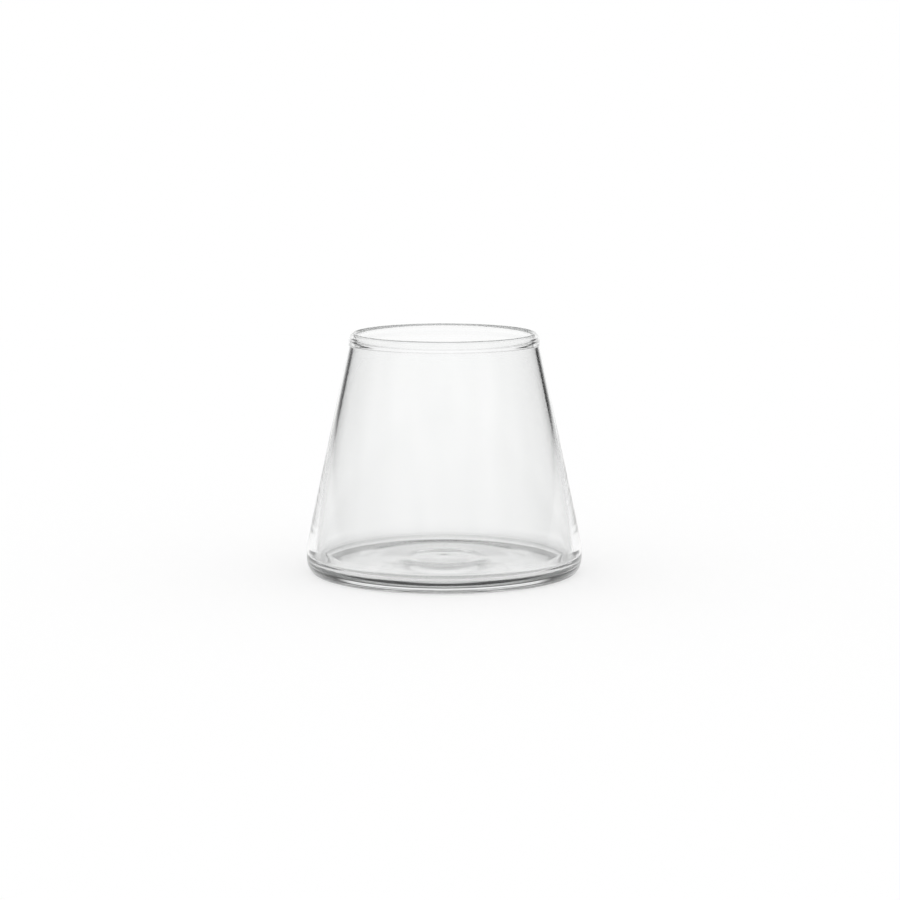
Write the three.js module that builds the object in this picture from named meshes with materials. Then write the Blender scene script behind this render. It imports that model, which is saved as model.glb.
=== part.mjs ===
// A tapered drinking glass: one piece of clear blown glass with a thick base, a rounded heel, a cone of wall
// that thickens towards the base, and a fire-polished bead round the mouth.
// The glass never comes apart. It is modelled as its three worked zones, base, wall and rim, which meet face
// to face on level planes and together are the whole glass.
// Millimetres, +Z up. The origin is the middle of the foot ring, on the surface that the glass stands on.
import * as THREE from "three";

// Driving dimensions
const BASE_DIAMETER = 89.3; // widest, round the heel
const TAPER = 12; // degrees that the wall leans in
const HEIGHT = 77.7; // foot ring to the top of the bead
const WALL = 1.7; // even thickness of the upper wall, measured level
const THICKENING_HEIGHT = 58; // below this the inside of the wall leaves the cone
const THICKENING_RADIUS = 1000; // of the long curve that thickens the lower wall
const SEAM_HEIGHT = 10.5; // where the base zone ends and the wall zone starts
const FLOOR_FILLET = 2.4; // inside, between wall and floor
const FLOOR_THICKNESS = 3.8; // of the glass under the edge of the floor
const FLOOR_CROWN = 0.12; // rise of the floor's middle above its edge
const HEEL_WIDTH = 3.4; // of the rounding outside, between foot ring and wall
const HEEL_HEIGHT = 6.4; // of the heel's widest level above the table
const HEEL_POWER = 0.8; // 1 makes the heel an ellipse, less makes it fuller
const FOOT_RING_WIDTH = 6.4; // flat ring that touches the table
const PUSH_UP = 0.1; // hollow under the base, inside the foot ring
const BEAD_HEIGHT = 4.1; // neck to the top of the bead
const BEAD_ROUND = 1.9; // height of the bead's rounded top, above its widest level
const BEAD_PROUD = 0.3; // of the wall, outside and inside alike

// Facets
const SECTORS = 72;
const BEAD_FLANK_STEPS = 4;
const BEAD_TOP_STEPS = 12;
const HEEL_STEPS = 10;
const FILLET_STEPS = 10;
const THICKENING_STEPS = 8;
const DOME_STEPS = 8;

// Sections are drawn in the half-plane of radius and height.
const point = (radius, height) => new THREE.Vector2(radius, height);

// Points along an arc, with its angles measured from level outwards towards straight up. A power under 1
// pushes the arc out towards the corner of its box.
const raised = (share, power) => Math.sign(share) * Math.abs(share) ** power;

function arc(centre, radii, from, to, steps, power = 1) {
  return Array.from({ length: steps + 1 }, (_, step) => {
    const angle = from + ((to - from) * step) / steps;
    const way = point(raised(Math.cos(angle), power), raised(Math.sin(angle), power));
    return way.multiply(radii).add(centre);
  });
}

const roundArc = (centre, radius, ...turn) => arc(centre, point(radius, radius), ...turn);

// Outside of the wall: the heel rises to where its own slope is the taper, and a straight line goes on from
// there to the neck, under the bead.
const taper = THREE.MathUtils.degToRad(TAPER);
const heelCentre = point(BASE_DIAMETER / 2 - HEEL_WIDTH, HEEL_HEIGHT);
const steepness = (HEEL_HEIGHT / HEEL_WIDTH) * Math.tan(taper);
const heelTop = Math.atan(steepness ** (1 / (2 - HEEL_POWER)));
const heel = arc(heelCentre, point(HEEL_WIDTH, HEEL_HEIGHT), -Math.PI / 2, heelTop, HEEL_STEPS, HEEL_POWER);
const wallFoot = heel[HEEL_STEPS];
const neckHeight = HEIGHT - BEAD_HEIGHT;
const flare = (height) => (neckHeight - height) * Math.tan(taper);
const neckOutside = point(wallFoot.x - flare(wallFoot.y), neckHeight);
const neckInside = point(neckOutside.x - WALL, neckHeight);
const seamOutside = point(neckOutside.x + flare(SEAM_HEIGHT), SEAM_HEIGHT);

// Inside of the wall: parallel to the outside down to the thickening height, then a long arc that runs past
// the seam into the base, and the floor's fillet, each tangent to the last.
const thickeningCentre = point(
  neckInside.x + flare(THICKENING_HEIGHT) - THICKENING_RADIUS * Math.cos(taper),
  THICKENING_HEIGHT - THICKENING_RADIUS * Math.sin(taper),
);
const filletHeight = FLOOR_THICKNESS + FLOOR_FILLET;
const angleAt = (height, radius) => Math.asin((height - thickeningCentre.y) / radius);
const seamAngle = angleAt(SEAM_HEIGHT, THICKENING_RADIUS);
const filletAngle = angleAt(filletHeight, THICKENING_RADIUS - FLOOR_FILLET);
const filletCentre = point(
  thickeningCentre.x + (THICKENING_RADIUS - FLOOR_FILLET) * Math.cos(filletAngle),
  filletHeight,
);

// Points along a shallow dome from the axis to its edge, level at both ends.
function dome(crownHeight, edge) {
  const halfway = edge.x / 2;
  const crown = point(0, crownHeight);
  const curve = new THREE.CubicBezierCurve(crown, point(halfway, crown.y), point(halfway, edge.y), edge);
  return curve.getPoints(DOME_STEPS);
}

// Base: push-up, foot ring and heel, over the seam with the wall, then down the fillet and along the floor.
function baseOutline() {
  const footInside = point(heelCentre.x - FOOT_RING_WIDTH, 0);
  const floorEdge = point(filletCentre.x, FLOOR_THICKNESS);
  return [
    ...dome(PUSH_UP, footInside),
    ...heel,
    seamOutside,
    ...roundArc(thickeningCentre, THICKENING_RADIUS, seamAngle, filletAngle, 1),
    ...roundArc(filletCentre, FLOOR_FILLET, filletAngle, -Math.PI / 2, FILLET_STEPS).slice(1),
    ...dome(FLOOR_THICKNESS + FLOOR_CROWN, floorEdge).reverse().slice(1),
  ];
}

// Wall: straight outside, level neck, then the even and the thickening parts of the inside.
function wallOutline() {
  return [
    seamOutside,
    neckOutside,
    neckInside,
    ...roundArc(thickeningCentre, THICKENING_RADIUS, taper, seamAngle, THICKENING_STEPS),
    seamOutside,
  ];
}

// Rim: a bead that swells from the neck to its widest level and rounds over, drawn upright, then leant with
// the wall.
function rimOutline() {
  const neck = point(WALL / 2, neckHeight);
  const widest = point(neck.x + BEAD_PROUD, HEIGHT - BEAD_ROUND);
  const halfway = (neck.y + widest.y) / 2;
  const flank = new THREE.CubicBezierCurve(neck, point(neck.x, halfway), point(widest.x, halfway), widest);
  const outside = flank.getPoints(BEAD_FLANK_STEPS);
  const inside = outside.map(({ x, y }) => point(-x, y)).reverse();
  const top = arc(point(0, widest.y), point(widest.x, BEAD_ROUND), 0, Math.PI, BEAD_TOP_STEPS);
  const upright = [...outside, ...top.slice(1, -1), ...inside, neck];
  return upright.map(({ x, y }) => point(neckOutside.x - WALL / 2 + flare(y) + x, y));
}

const clearGlass = new THREE.MeshStandardMaterial({
  color: 0xf4f8f7,
  roughness: 0.03,
  metalness: 0,
  transparent: true,
  opacity: 0.35,
});

// A zone of the glass: its outline turned about the upright axis.
function zone(name, outline) {
  const mesh = new THREE.Mesh(new THREE.LatheGeometry(outline, SECTORS), clearGlass);
  mesh.name = name;
  mesh.rotation.x = Math.PI / 2;
  return mesh;
}

const tumbler = new THREE.Group();
tumbler.add(zone("base", baseOutline()), zone("wall", wallOutline()), zone("rim", rimOutline()));

export default tumbler;
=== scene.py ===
# %% [markdown]
# # A tapered glass tumbler
#
# A clear drinking glass with a wide, thick base, a straight wall that narrows to the mouth, and a soft
# bead round the lip. It is one piece of blown glass, so the looks hang on two things: an outline that is
# right to a tenth of a millimetre, because glass bends light wherever its thickness changes, and a studio
# that gives clear glass something to show.
#
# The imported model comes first. It is the frame: what is made below stands on its origin, in its metres.

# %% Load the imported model
import math

import bmesh
import bpy
from mathutils import Matrix


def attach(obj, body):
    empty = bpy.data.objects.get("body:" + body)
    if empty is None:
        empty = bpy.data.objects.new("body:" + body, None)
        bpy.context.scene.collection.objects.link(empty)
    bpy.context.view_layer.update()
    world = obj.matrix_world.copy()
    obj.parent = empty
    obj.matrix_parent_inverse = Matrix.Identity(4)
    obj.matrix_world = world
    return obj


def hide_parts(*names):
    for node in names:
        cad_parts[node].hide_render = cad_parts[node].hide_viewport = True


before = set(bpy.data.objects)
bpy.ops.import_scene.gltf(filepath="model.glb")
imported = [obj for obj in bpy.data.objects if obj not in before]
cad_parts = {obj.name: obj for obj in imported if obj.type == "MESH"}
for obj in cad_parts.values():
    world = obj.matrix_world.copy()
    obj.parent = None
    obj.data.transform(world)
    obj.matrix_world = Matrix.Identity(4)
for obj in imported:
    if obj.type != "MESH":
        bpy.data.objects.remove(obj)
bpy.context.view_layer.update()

# %% [markdown]
# ## The camera
#
# The glass is seen from a little above, from about a metre away, through a long lens. The distance and the
# tilt come from the round mouth and the round base: how flat each of them looks gives the height of the
# eye, and how much flatter the mouth looks than the base gives the distance. The rest is a plain camera
# with no shift and no depth of field. A Blender camera looks straight down until it is turned up, so its
# turn is counted from there.

# %% Place the camera
SENSOR_WIDTH, FOCAL_LENGTH = 36, 125.62
EYE = (0.00186, -1.0052, 0.1808)
DEGREES_BELOW_LEVEL = 8

lens = bpy.data.cameras.new("camera")
lens.sensor_width = SENSOR_WIDTH
lens.lens = FOCAL_LENGTH
camera = bpy.data.objects.new("camera", lens)
bpy.context.scene.collection.objects.link(camera)
camera.location = EYE
camera.rotation_euler = (math.radians(90 - DEGREES_BELOW_LEVEL), 0, 0)
bpy.context.scene.camera = camera
print("camera", EYE, "lens", FOCAL_LENGTH, "mm,", DEGREES_BELOW_LEVEL, "degrees below level")

# %% [markdown]
# ## The outline of the glass
#
# A tumbler like this is turned while it is hot, so one half of its section says everything about it. It
# could be drawn as a curve and given a Screw modifier, but a bmesh keeps the section as real vertices that
# can be measured and moved. The section is drawn in the XZ plane, in millimetres, with X the distance from
# the axis. Every run of it is one vertex and a spin: turned about a level axis it leaves an arc, as a
# compass would, and moved without a turn it leaves a straight row. Each run starts where the last one
# ended, and the doubles are merged at the end.

# %% Helpers for drawing the outline
MM = 0.001
outline = bmesh.new()


def drawn_since(count):
    """The vertices that were drawn after the first so many."""
    outline.verts.ensure_lookup_table()
    return outline.verts[count:]


def end_of(run):
    """Where a run ends, as (radius, height) in millimetres."""
    return run[-1].co.x / MM, run[-1].co.z / MM


def draw_line(start, end, steps):
    """A straight run from one (radius, height) to another, in short equal steps."""
    count = len(outline.verts)
    first = outline.verts.new((start[0] * MM, 0, start[1] * MM))
    stride = ((end[0] - start[0]) * MM / steps, 0, (end[1] - start[1]) * MM / steps)
    bmesh.ops.spin(outline, geom=[first], axis=(0, -1, 0), dvec=stride, angle=0, steps=steps)
    return drawn_since(count)


def draw_arc(centre, start, turn, steps):
    """A round run about a centre. A positive turn goes from the outside up, a negative one back down."""
    count = len(outline.verts)
    first = outline.verts.new((start[0] * MM, 0, start[1] * MM))
    pivot = (centre[0] * MM, 0, centre[1] * MM)
    bmesh.ops.spin(outline, geom=[first], cent=pivot, axis=(0, -1, 0), angle=turn, steps=steps)
    return drawn_since(count)


print("one unit of the outline is", MM, "m")

# %% [markdown]
# ## Under the glass, and the heel
#
# The glass stands on a flat ring, and the glass inside that ring is pushed up by a hair so that it can't
# rock. From the ring the heel rolls up into the wall. On the real glass the heel is taller than it is wide
# and a little squarer than an ellipse. So a round arc is spun, and then each of its vertices is moved: the
# sine and the cosine of its angle, raised to a power under one, push the middle of the arc outwards.

# %% Draw the foot and the heel
BASE_RADIUS = 44.65
HEEL_WIDTH, HEEL_HEIGHT, HEEL_POWER = 3.4, 6.4, 0.8
FOOT_RING_WIDTH, PUSH_UP = 6.4, 0.1
LEAN = math.radians(12)
FOOT_STEPS, HEEL_STEPS = 60, 40

foot_radius = BASE_RADIUS - HEEL_WIDTH
hollow_radius = foot_radius - FOOT_RING_WIDTH
for vert in draw_line((0, 0), (foot_radius, 0), FOOT_STEPS):
    share = min(1, vert.co.x / (hollow_radius * MM))
    vert.co.z = PUSH_UP * MM * (1 + math.cos(math.pi * share)) / 2

# The heel ends where its own slope is the slope of the wall.
steepness = HEEL_HEIGHT / HEEL_WIDTH * math.tan(LEAN)
heel_turn = math.atan(steepness ** (1 / (2 - HEEL_POWER)))
for vert in draw_arc((0, 0), (0, -1), math.pi / 2 + heel_turn, HEEL_STEPS):
    across, up = vert.co.x / MM, vert.co.z / MM
    vert.co.x = (foot_radius + HEEL_WIDTH * abs(across) ** HEEL_POWER) * MM
    vert.co.z = (HEEL_HEIGHT + HEEL_HEIGHT * math.copysign(abs(up) ** HEEL_POWER, up)) * MM
heel_top = end_of(drawn_since(0))
print("the wall leaves the heel", round(heel_top[1], 2), "mm up, at radius", round(heel_top[0], 2))

# %% [markdown]
# ## The wall outside, and the bead round the mouth
#
# The outside is a plain cone, one straight edge. It is cut into short edges all the same, because smooth
# shading blends the normals at the two ends of an edge, and a long edge would carry the heel's curve up the
# whole wall. The lip was melted in a flame until it drew itself into a soft bead, a little thicker than the
# wall. The bead is drawn upright: on each side two arcs swell from the neck to the widest level, one bent
# out and one bent back, and between them a half circle, stretched upwards, rounds the top. Then a shear
# leans it over with the wall.

# %% Draw the outer wall and the bead
NECK_HEIGHT, HEIGHT = 73.6, 77.7
WALL = 1.7
BEAD_PROUD, BEAD_ROUND = 0.3, 1.9
WALL_STEPS, FLANK_STEPS, LIP_STEPS = 24, 5, 32

neck_radius = heel_top[0] - (NECK_HEIGHT - heel_top[1]) * math.tan(LEAN)
draw_line(heel_top, (neck_radius, NECK_HEIGHT), WALL_STEPS)

middle = neck_radius - WALL / 2
bulge = WALL / 2 + BEAD_PROUD
widest = HEIGHT - BEAD_ROUND
rise = (widest - NECK_HEIGHT) / 2
swell = (rise ** 2 + (BEAD_PROUD / 2) ** 2) / BEAD_PROUD
swell_turn = math.asin(rise / swell)
halfway = (middle + WALL / 2 + BEAD_PROUD / 2, NECK_HEIGHT + rise)
inner_halfway = (2 * middle - halfway[0], halfway[1])

before_bead = len(outline.verts)
draw_arc((neck_radius + swell, NECK_HEIGHT), (neck_radius, NECK_HEIGHT), -swell_turn, FLANK_STEPS)
draw_arc((middle + bulge - swell, widest), halfway, swell_turn, FLANK_STEPS)
lip = draw_arc((middle, widest), (middle + bulge, widest), math.pi, LIP_STEPS)
tall = Matrix.Translation((-middle * MM, 0, -widest * MM))
bmesh.ops.scale(outline, verts=lip, vec=(1, 1, BEAD_ROUND / bulge), space=tall)
draw_arc((middle - bulge + swell, widest), (middle - bulge, widest), swell_turn, FLANK_STEPS)
draw_arc((neck_radius - WALL - swell, NECK_HEIGHT), inner_halfway, -swell_turn, FLANK_STEPS)

leaning = Matrix.Identity(4)
leaning[0][2] = -math.tan(LEAN)
leaning[0][3] = NECK_HEIGHT * MM * math.tan(LEAN)
bmesh.ops.transform(outline, verts=drawn_since(before_bead), matrix=leaning)
bead_top = max(vert.co.z for vert in drawn_since(before_bead)) / MM
print("bead from", NECK_HEIGHT, "to", round(bead_top, 2), "mm")

# %% [markdown]
# ## The wall inside
#
# The wall is even near the mouth. Lower down the glass stayed hotter and thicker, so the inside leaves the
# cone on a very long curve. A small fillet turns it into the floor. Both are spun arcs, and each starts in
# the direction in which the last run ended, so no corner shows as a line of light.

# %% Draw the inner wall and the fillet
THICKENING_HEIGHT, THICKENING_RADIUS = 58, 1000
FLOOR_THICKNESS, FLOOR_FILLET = 3.8, 2.4
EVEN_STEPS, THICKENING_STEPS, FILLET_STEPS = 6, 28, 24

inner_neck = neck_radius - WALL
inner_bend = (inner_neck + (NECK_HEIGHT - THICKENING_HEIGHT) * math.tan(LEAN), THICKENING_HEIGHT)
draw_line((inner_neck, NECK_HEIGHT), inner_bend, EVEN_STEPS)
far_centre = (
    inner_bend[0] - THICKENING_RADIUS * math.cos(LEAN),
    inner_bend[1] - THICKENING_RADIUS * math.sin(LEAN),
)
fillet_height = FLOOR_THICKNESS + FLOOR_FILLET
fillet_reach = THICKENING_RADIUS - FLOOR_FILLET
fillet_angle = math.asin((fillet_height - far_centre[1]) / fillet_reach)
wall_foot = end_of(draw_arc(far_centre, inner_bend, fillet_angle - LEAN, THICKENING_STEPS))
fillet_centre = (far_centre[0] + fillet_reach * math.cos(fillet_angle), fillet_height)
floor_edge = end_of(draw_arc(fillet_centre, wall_foot, -math.pi / 2 - fillet_angle, FILLET_STEPS))
print("inside: fillet from", [round(c, 2) for c in wall_foot], "to", [round(c, 2) for c in floor_edge])

# %% [markdown]
# ## The floor inside
#
# The floor isn't flat. The glass was gathered and pressed there, which left soft rings round a low middle.
# They are two tenths of a millimetre high at most, yet they show, because the eye meets the floor at a
# shallow angle and each slope mirrors another part of the room. The floor is one edge cut into short ones,
# and each ring is a smooth swell added to the heights.

# %% Draw the floor with its rings
FLOOR_CROWN = 0.12
FLOOR_STEPS = 110
# Radius, width and height of each ring. A height under zero is a hollow.
RINGS = ((24, 4, -0.12), (12, 4, 0.2), (0, 2.5, -0.06))

for vert in draw_line(floor_edge, (0, FLOOR_THICKNESS), FLOOR_STEPS):
    radius = vert.co.x / MM
    swell_up = FLOOR_CROWN * (1 + math.cos(math.pi * radius / floor_edge[0])) / 2
    for ring_radius, ring_width, ring_height in RINGS:
        swell_up += ring_height * math.exp(-(((radius - ring_radius) / ring_width) ** 2))
    vert.co.z += swell_up * MM
print("floor", FLOOR_THICKNESS, "to", round(end_of(drawn_since(0))[1], 2), "mm thick")

# %% [markdown]
# ## Turn the section into the glass
#
# The ends of the runs that fall on each other are merged into one line, and the whole line is spun once
# round the axis. A full spin needs use_merge, or the last ring would lie on the first as a loose
# seam. The two ends of the line are on the axis, so they close into poles. Merging comes before the normals
# are recalculated, because loose rings have no inside.

# %% Spin the glass
SECTORS = 192
# Vertices that are closer than this, in metres, are merged.
RUN_GAP, POLE_GAP = 2e-6, 1e-7

bmesh.ops.remove_doubles(outline, verts=outline.verts, dist=RUN_GAP)
line = outline.verts[:] + outline.edges[:]
bmesh.ops.spin(
    outline, geom=line, cent=(0, 0, 0), axis=(0, 0, 1), angle=2 * math.pi, steps=SECTORS, use_merge=True
)
bmesh.ops.remove_doubles(outline, verts=outline.verts, dist=POLE_GAP)
bmesh.ops.recalc_face_normals(outline, faces=outline.faces)
for face in outline.faces:
    face.smooth = True
open_edges = [edge for edge in outline.edges if not edge.is_manifold]
print("glass", len(outline.verts), "vertices,", len(outline.faces), "faces")
print("open edges", len(open_edges))
print("glass volume", round(outline.calc_volume(signed=True) * 1e6, 1), "cubic cm")

# %% [markdown]
# ## The piece
#
# The mesh becomes an object at the origin, with its place in its vertices, as a CAD node has. It rides on
# the only body there is, and it stands for all three zones of the solid model, which the real glass doesn't
# divide into pieces.

# %% Make the piece
mesh = bpy.data.meshes.new("tumbler_glass")
outline.to_mesh(mesh)
outline.free()
tumbler = bpy.data.objects.new("tumbler_glass", mesh)
bpy.context.scene.collection.objects.link(tumbler)
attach(tumbler, "root")
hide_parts("rim", "wall", "base")

# %% [markdown]
# ## Clear glass
#
# Glass is mostly two numbers. Full transmission lets the light through, and the IOR says how far it is
# bent: 1.47 for borosilicate, the glass of thin blown ware, a little less than for window glass. The base
# is a shade darker than the thin wall, because the light goes a longer way in it. A darker colour low down
# could imitate that, but a little absorption in the volume does it by itself wherever the glass is thick.

# %% Start the glass material
GLASS_IOR = 1.47
ABSORPTION_COLOUR, ABSORPTION = (0.48, 0.5, 0.49, 1), 3

glass = bpy.data.materials.new("clear_glass")
glass.use_nodes = True
nodes, links = glass.node_tree.nodes, glass.node_tree.links
shader = nodes["Principled BSDF"]
shader.inputs["IOR"].default_value = GLASS_IOR
shader.inputs["Transmission Weight"].default_value = 1
thickness = nodes.new("ShaderNodeVolumeAbsorption")
thickness.inputs["Color"].default_value = ABSORPTION_COLOUR
thickness.inputs["Density"].default_value = ABSORPTION
links.new(thickness.outputs[0], nodes["Material Output"].inputs["Volume"])
mesh.materials.append(glass)
print("clear glass, IOR", GLASS_IOR)

# %% [markdown]
# ## What the making left in the glass
#
# So far it looks made by a computer. Blown glass keeps faint streaks, drawn out along the wall as it was
# blown, a bloom of haze where it was handled, and a wave of a few thousandths of a millimetre in its skin.
# Each is noise on Object coordinates, so it stays put when the glass is moved, and each is very weak. The
# streaks tint the colour, the haze is a trace of roughness in patches, and the wave is a bump, because it
# is far too shallow to model.

# %% Add streaks, haze and waves
STREAK_SCALE, HAZE_SCALE, WAVE_SCALE = (160, 160, 14), (45, 45, 45), (90, 90, 25)
DARK_STREAK, PALE_STREAK = (0.972, 0.976, 0.974, 1), (0.99, 0.992, 0.991, 1)
STREAK_RANGE, HAZE_RANGE = (0.3, 0.7), (0.45, 0.8)
HAZE_ROUGHNESS = 0.008
WAVE_HEIGHT = 4e-6

place = nodes.new("ShaderNodeTexCoord")


def patches(scale, detail):
    """Soft noise on Object coordinates, with its own scale for each axis."""
    stretch = nodes.new("ShaderNodeMapping")
    stretch.inputs["Scale"].default_value = scale
    links.new(place.outputs["Object"], stretch.inputs["Vector"])
    field = nodes.new("ShaderNodeTexNoise")
    field.inputs["Scale"].default_value = 1
    field.inputs["Detail"].default_value = detail
    links.new(stretch.outputs[0], field.inputs["Vector"])
    return field.outputs["Fac"]


tint = nodes.new("ShaderNodeValToRGB")
for stop, position, colour in zip(tint.color_ramp.elements, STREAK_RANGE, (DARK_STREAK, PALE_STREAK)):
    stop.position = position
    stop.color = colour
links.new(patches(STREAK_SCALE, detail=2), tint.inputs[0])
links.new(tint.outputs["Color"], shader.inputs["Base Color"])

haze = nodes.new("ShaderNodeMapRange")
haze.inputs["From Min"].default_value, haze.inputs["From Max"].default_value = HAZE_RANGE
haze.inputs["To Max"].default_value = HAZE_ROUGHNESS
links.new(patches(HAZE_SCALE, detail=4), haze.inputs["Value"])
links.new(haze.outputs[0], shader.inputs["Roughness"])

waves = nodes.new("ShaderNodeBump")
waves.inputs["Distance"].default_value = WAVE_HEIGHT
links.new(patches(WAVE_SCALE, detail=1), waves.inputs["Height"])
links.new(waves.outputs[0], shader.inputs["Normal"])
print("glass material", len(nodes), "nodes")

# %% [markdown]
# ## The table
#
# The glass stands on a plain disc. The disc lies a hair below the foot ring: a real glass touches its table
# at a few points only, and the film of air under the rest is a mirror for shallow looks. With both faces at
# the same height Blender would treat the glass as glued to the table, and the dark ends of the heel's band
# would turn white.

# %% Make the table
TABLE_RADIUS = 1.1
AIR_GAP = 3e-5

disc = bmesh.new()
bmesh.ops.create_circle(disc, cap_ends=True, radius=TABLE_RADIUS, segments=128)
table_mesh = bpy.data.meshes.new("table")
disc.to_mesh(table_mesh)
disc.free()
table = bpy.data.objects.new("table", table_mesh)
table.location.z = -AIR_GAP
bpy.context.scene.collection.objects.link(table)
print("table radius", TABLE_RADIUS, "m, air gap", AIR_GAP)

# %% [markdown]
# ## White for the table
#
# Paint alone would be too dark under the glass, where little light gets in. So a little over half of the
# white is a glow of the table's own, and the rest is paint, which keeps the soft shadow. The two add up to
# plain white.
#
# The white fades out with distance instead of ending. Near its left and right edges the wall bends the look
# far aside, and that look should run off the table and meet the dark flags of the next step. An endless
# plane would fill it with white, and the dark lines that draw the glass would be gone.

# %% Paint the table
PAINT, GLOW = 0.45, 0.55
FADE_START = 0.3

white = bpy.data.materials.new("white_table")
white.use_nodes = True
nodes, links = white.node_tree.nodes, white.node_tree.links
nodes.clear()
paint = nodes.new("ShaderNodeBsdfDiffuse")
paint.inputs["Color"].default_value = (PAINT, PAINT, PAINT, 1)
glow = nodes.new("ShaderNodeEmission")
glow.inputs["Strength"].default_value = GLOW
lit = nodes.new("ShaderNodeAddShader")
links.new(paint.outputs[0], lit.inputs[0])
links.new(glow.outputs[0], lit.inputs[1])

table_place = nodes.new("ShaderNodeTexCoord")
distance = nodes.new("ShaderNodeVectorMath")
distance.operation = "LENGTH"
links.new(table_place.outputs["Object"], distance.inputs[0])
fade = nodes.new("ShaderNodeMapRange")
fade.interpolation_type = "SMOOTHSTEP"
fade.inputs["From Min"].default_value = FADE_START
fade.inputs["From Max"].default_value = TABLE_RADIUS
links.new(distance.outputs["Value"], fade.inputs["Value"])

nothing = nodes.new("ShaderNodeBsdfTransparent")
faded = nodes.new("ShaderNodeMixShader")
links.new(fade.outputs[0], faded.inputs[0])
links.new(lit.outputs[0], faded.inputs[1])
links.new(nothing.outputs[0], faded.inputs[2])
table_output = nodes.new("ShaderNodeOutputMaterial")
links.new(faded.outputs[0], table_output.inputs["Surface"])
table_mesh.materials.append(white)
print("table", PAINT, "paint and", GLOW, "glow, fading from", FADE_START, "m")

# %% [markdown]
# ## The room
#
# Clear glass has no look of its own: it shows the room, bent. So it is stood before a white backdrop, with
# a dark flag on each side, just out of the picture. The middle of the glass shows the backdrop, its edges
# show the flags, and those lines are what the eye reads as glass. Overhead it is dark too, because the
# thick heel bends the look upwards, and that gives the heel its dark band.
#
# Flags could be real planes. Painted on the world they cast no shadow and need no placing: one row of greys
# goes round the room low down, one above the flags, and one round the ceiling, which is light over the
# camera, where a big soft lamp would hang, and dark elsewhere.

# %% Plan the room
# Brightness by degrees round the room, with 0 straight behind the glass and the left below 0.
FLAGS = (
    (-180, 0.35), (-62, 0.35), (-46, 0.10), (-24, 0.10), (-19, 1),
    (19, 1), (24, 0.04), (46, 0.04), (62, 0.35), (180, 0.35),
)
BACKDROP = (
    (-180, 0.35), (-100, 0.35), (-85, 0.04), (-38, 0.04), (-30, 1),
    (30, 1), (38, 0.04), (85, 0.04), (100, 0.35), (180, 0.35),
)
CEILING = ((-180, 0.8), (-125, 0.8), (-100, 0.04), (100, 0.04), (125, 0.8), (180, 0.8))

# Degrees above the horizon between which one row of greys gives way to the next.
FLAG_TOP, CEILING_EDGE = (2, 6), (11, 14)
print("flags", FLAGS[2][0], "to", FLAGS[3][0], "degrees, ceiling from", CEILING_EDGE[0], "degrees up")

# %% [markdown]
# ## Directions in the room
#
# On the world, Generated coordinates are the direction of the look. The arctangent of its X and Y is the
# bearing, which a ramp turns into the row of greys, and its Z is the sine of the angle above the horizon.

# %% Directions and helpers for the room
room = bpy.data.worlds.new("room")
bpy.context.scene.world = room
room.use_nodes = True
nodes, links = room.node_tree.nodes, room.node_tree.links
nodes.clear()
direction = nodes.new("ShaderNodeTexCoord")
axes = nodes.new("ShaderNodeSeparateXYZ")
links.new(direction.outputs["Generated"], axes.inputs[0])
bearing = nodes.new("ShaderNodeMath")
bearing.operation = "ARCTAN2"
links.new(axes.outputs["X"], bearing.inputs[0])
links.new(axes.outputs["Y"], bearing.inputs[1])
full_turn = nodes.new("ShaderNodeMapRange")
full_turn.inputs["From Min"].default_value = -math.pi
full_turn.inputs["From Max"].default_value = math.pi
links.new(bearing.outputs[0], full_turn.inputs["Value"])


def round_the_room(levels):
    """A grey for each bearing, from a row of (degrees, brightness)."""
    ramp = nodes.new("ShaderNodeValToRGB")
    links.new(full_turn.outputs[0], ramp.inputs[0])
    stops = ramp.color_ramp.elements
    for stop, (degrees, value) in zip((stops[0], stops[1]), (levels[0], levels[-1])):
        stop.position = (degrees + 180) / 360
        stop.color = (value, value, value, 1)
    for degrees, value in levels[1:-1]:
        stops.new((degrees + 180) / 360).color = (value, value, value, 1)
    return ramp.outputs["Color"]


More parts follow.
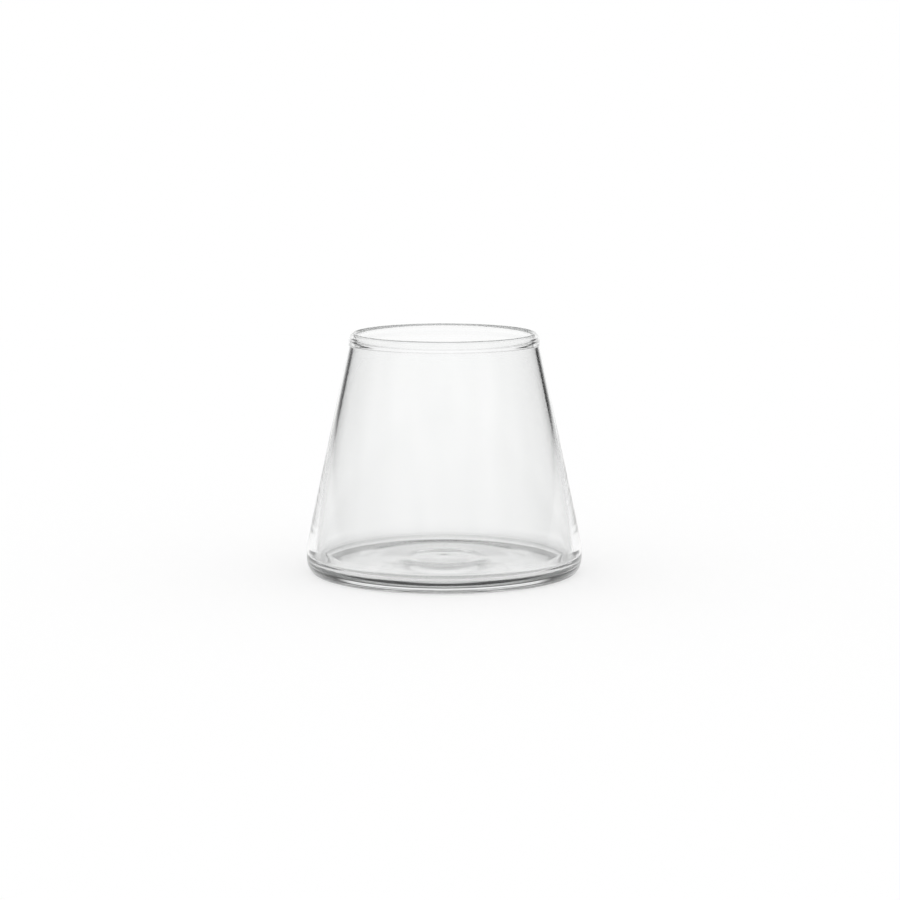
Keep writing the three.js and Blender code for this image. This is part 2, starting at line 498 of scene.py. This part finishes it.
def change_with_height(below, above, edge):
    """One grey that gives way to another between two heights, in degrees above the horizon."""
    height = nodes.new("ShaderNodeMapRange")
    height.interpolation_type = "SMOOTHSTEP"
    height.inputs["From Min"].default_value = math.sin(math.radians(edge[0]))
    height.inputs["From Max"].default_value = math.sin(math.radians(edge[1]))
    links.new(axes.outputs["Z"], height.inputs["Value"])
    mix = nodes.new("ShaderNodeMix")
    mix.data_type = "RGBA"
    links.new(height.outputs[0], mix.inputs["Factor"])
    links.new(below, mix.inputs["A"])
    links.new(above, mix.inputs["B"])
    return mix.outputs["Result"]


print("room directions", len(nodes), "nodes")

# %% [markdown]
# ## Who sees the room
#
# Light Path sorts the rays. A ray from the camera sees plain white, the background of the picture, and so
# does one that has met the table's paint, which keeps the table's light even. Rays through the glass or off
# it see the room, whose backdrop is that same white. Cycles usually guides light rays with a map of the
# world, and a map knows nothing of Light Path, so that sampling is turned off.

# %% Put the room together
room.cycles.sampling_method = "NONE"
walls = change_with_height(round_the_room(FLAGS), round_the_room(BACKDROP), FLAG_TOP)
whole_room = change_with_height(walls, round_the_room(CEILING), CEILING_EDGE)
room_light = nodes.new("ShaderNodeBackground")
links.new(whole_room, room_light.inputs["Color"])
white_light = nodes.new("ShaderNodeBackground")
white_light.inputs["Color"].default_value = (1, 1, 1, 1)
path = nodes.new("ShaderNodeLightPath")
sees_white = nodes.new("ShaderNodeMath")
sees_white.operation = "MAXIMUM"
links.new(path.outputs["Is Camera Ray"], sees_white.inputs[0])
links.new(path.outputs["Diffuse Depth"], sees_white.inputs[1])
sorted_light = nodes.new("ShaderNodeMixShader")
links.new(sees_white.outputs[0], sorted_light.inputs[0])
links.new(room_light.outputs[0], sorted_light.inputs[1])
links.new(white_light.outputs[0], sorted_light.inputs[2])
room_output = nodes.new("ShaderNodeOutputWorld")
links.new(sorted_light.outputs[0], room_output.inputs["Surface"])
print("room", len(nodes), "nodes")

# %% [markdown]
# ## Finish
#
# A look into the lip can run down inside the wall as in a light guide, with dozens of bounces, and where
# the bounces run out it turns black. So their number is raised far above the usual, which costs little,
# since few rays need them. The denoiser takes out the grain that is left.

# %% Settings and finish
BOUNCES = 96

scene = bpy.context.scene
scene.view_settings.view_transform = "Standard"
scene.cycles.max_bounces = BOUNCES
scene.cycles.transmission_bounces = BOUNCES
scene.cycles.glossy_bounces = BOUNCES
scene.cycles.use_denoising = True
